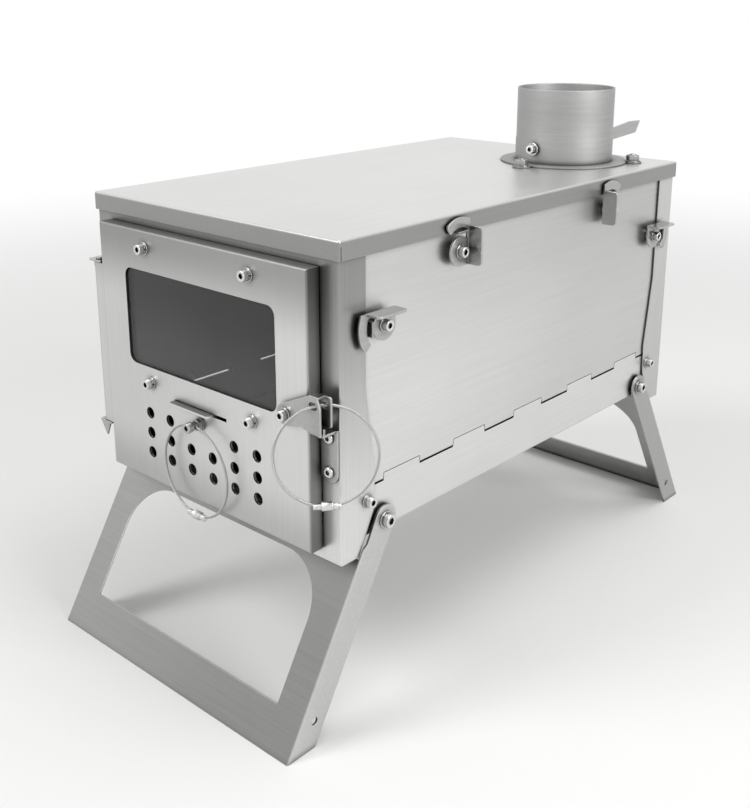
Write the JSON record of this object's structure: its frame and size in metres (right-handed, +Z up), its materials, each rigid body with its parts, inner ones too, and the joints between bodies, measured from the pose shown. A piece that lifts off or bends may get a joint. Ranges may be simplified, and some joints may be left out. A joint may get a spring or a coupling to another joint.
{
  "type": "tent wood stove",
  "caption": "Folding camping wood stove of bent sheet metal on two fold-out legs, with a windowed door, air slider, flue collar with damper and quick-release side latches.",
  "frame": {"origin": "on the floor under the middle of the stove's overall box", "axes": "+X across the stove to the right of someone facing the door, +Y from the door to the back, +Z up"},
  "size_m": [0.2067, 0.3864, 0.2895],
  "materials": {
    "sheet_metal": "satin",
    "flue_metal": "satin",
    "bright_screws": "polished",
    "turned_steel": "polished",
    "wire_cable": "stranded wire",
    "window_glass": "smoked"
  },
  "bodies": {
    "stove_body": {"base_tray": "sheet_metal", "right_side_panel": "sheet_metal", "left_side_panel": "sheet_metal", "front_frame": "sheet_metal", "rear_panel": "sheet_metal", "lid": "sheet_metal", "flue_collar": "flue_metal", "flue_ring": "flue_metal", "flue_bolts": "bright_screws", "frame_screws": "bright_screws", "leg_pivot_screws": "bright_screws", "right_latch_screws": "bright_screws", "left_latch_screws": "bright_screws", "door_catch": "sheet_metal", "catch_screws": "bright_screws", "door_hinge_ears": "sheet_metal", "door_hinge_pin": "turned_steel"},
    "damper": {"damper_disc": "sheet_metal", "damper_axle": "turned_steel", "damper_screw": "bright_screws", "damper_handle": "sheet_metal"},
    "front_leg": {"front_leg": "sheet_metal"},
    "rear_leg": {"rear_leg": "sheet_metal"},
    "door": {"door_shell": "sheet_metal", "window_glass": "window_glass", "glass_retainer": "sheet_metal", "door_screws": "bright_screws", "slider_guides": "sheet_metal", "door_pull_post": "turned_steel", "latch_pivot_screw": "bright_screws"},
    "air_slider": {"air_slider": "sheet_metal"},
    "pull_ring": {"door_pull_ring": "wire_cable", "door_pull_barrel": "turned_steel"},
    "door_latch": {"door_latch": "sheet_metal"},
    "latch_ring": {"latch_ring": "wire_cable", "latch_barrel": "turned_steel"},
    "right_front_end_latch": {"right_front_end_latch": "sheet_metal"},
    "right_front_top_latch": {"right_front_top_latch": "sheet_metal"},
    "right_rear_top_latch": {"right_rear_top_latch": "sheet_metal"},
    "right_rear_end_latch": {"right_rear_end_latch": "sheet_metal"},
    "left_front_end_latch": {"left_front_end_latch": "sheet_metal"},
    "left_front_top_latch": {"left_front_top_latch": "sheet_metal"},
    "left_rear_top_latch": {"left_rear_top_latch": "sheet_metal"},
    "left_rear_end_latch": {"left_rear_end_latch": "sheet_metal"}
  },
  "joints": [
    {"name": "front_leg_fold", "type": "hinge", "parent": "stove_body", "child": "front_leg", "pos_m": [0, -0.1235, 0.1005], "axis": [1, 0, 0], "range_deg": [0, 120]},
    {"name": "rear_leg_fold", "type": "hinge", "parent": "stove_body", "child": "rear_leg", "pos_m": [0, 0.1235, 0.1005], "axis": [-1, 0, 0], "range_deg": [0, 120]},
    {"name": "door_hinge", "type": "hinge", "parent": "stove_body", "child": "door", "pos_m": [-0.0845, -0.1576, 0.161], "axis": [0, 0, -1], "range_deg": [0, 105]},
    {"name": "air_slide", "type": "slide", "parent": "door", "child": "air_slider", "axis": [1, 0, 0], "range_m": [0, 0.0084]},
    {"name": "pull_ring_swing", "type": "hinge", "parent": "door", "child": "pull_ring", "pos_m": [0, -0.166, 0.1365], "axis": [-1, 0, 0], "range_deg": [0, 90]},
    {"name": "door_latch_turn", "type": "hinge", "parent": "door", "child": "door_latch", "pos_m": [0.0655, -0.1638, 0.16], "axis": [0, -1, 0], "range_deg": [-5, 12]},
    {"name": "latch_ring_swing", "type": "hinge", "parent": "door_latch", "child": "latch_ring", "pos_m": [0.0875, -0.1598, 0.169], "axis": [-0.6691, -0.7431, 0], "range_deg": [0, 80]},
    {"name": "damper_turn", "type": "hinge", "parent": "stove_body", "child": "damper", "pos_m": [0.035, 0.11, 0.2535], "axis": [0.075, 0.9972, 0], "range_deg": [0, 90]},
    {"name": "right_front_end_turn", "type": "hinge", "parent": "stove_body", "child": "right_front_end_latch", "pos_m": [0.0927, -0.1265, 0.2002], "axis": [-1, 0, 0], "range_deg": [0, 90]},
    {"name": "right_front_top_turn", "type": "hinge", "parent": "stove_body", "child": "right_front_top_latch", "pos_m": [0.0927, -0.071, 0.2247], "axis": [-1, 0, 0], "range_deg": [0, 90]},
    {"name": "right_rear_top_turn", "type": "hinge", "parent": "stove_body", "child": "right_rear_top_latch", "pos_m": [0.0927, 0.071, 0.2247], "axis": [1, 0, 0], "range_deg": [0, 90]},
    {"name": "right_rear_end_turn", "type": "hinge", "parent": "stove_body", "child": "right_rear_end_latch", "pos_m": [0.0927, 0.1265, 0.2002], "axis": [1, 0, 0], "range_deg": [0, 90]},
    {"name": "left_front_end_turn", "type": "hinge", "parent": "stove_body", "child": "left_front_end_latch", "pos_m": [-0.0927, -0.1265, 0.2002], "axis": [-1, 0, 0], "range_deg": [0, 90]},
    {"name": "left_front_top_turn", "type": "hinge", "parent": "stove_body", "child": "left_front_top_latch", "pos_m": [-0.0927, -0.071, 0.2247], "axis": [-1, 0, 0], "range_deg": [0, 90]},
    {"name": "left_rear_top_turn", "type": "hinge", "parent": "stove_body", "child": "left_rear_top_latch", "pos_m": [-0.0927, 0.071, 0.2247], "axis": [1, 0, 0], "range_deg": [0, 90]},
    {"name": "left_rear_end_turn", "type": "hinge", "parent": "stove_body", "child": "left_rear_end_latch", "pos_m": [-0.0927, 0.1265, 0.2002], "axis": [1, 0, 0], "range_deg": [0, 90]}
  ]
}
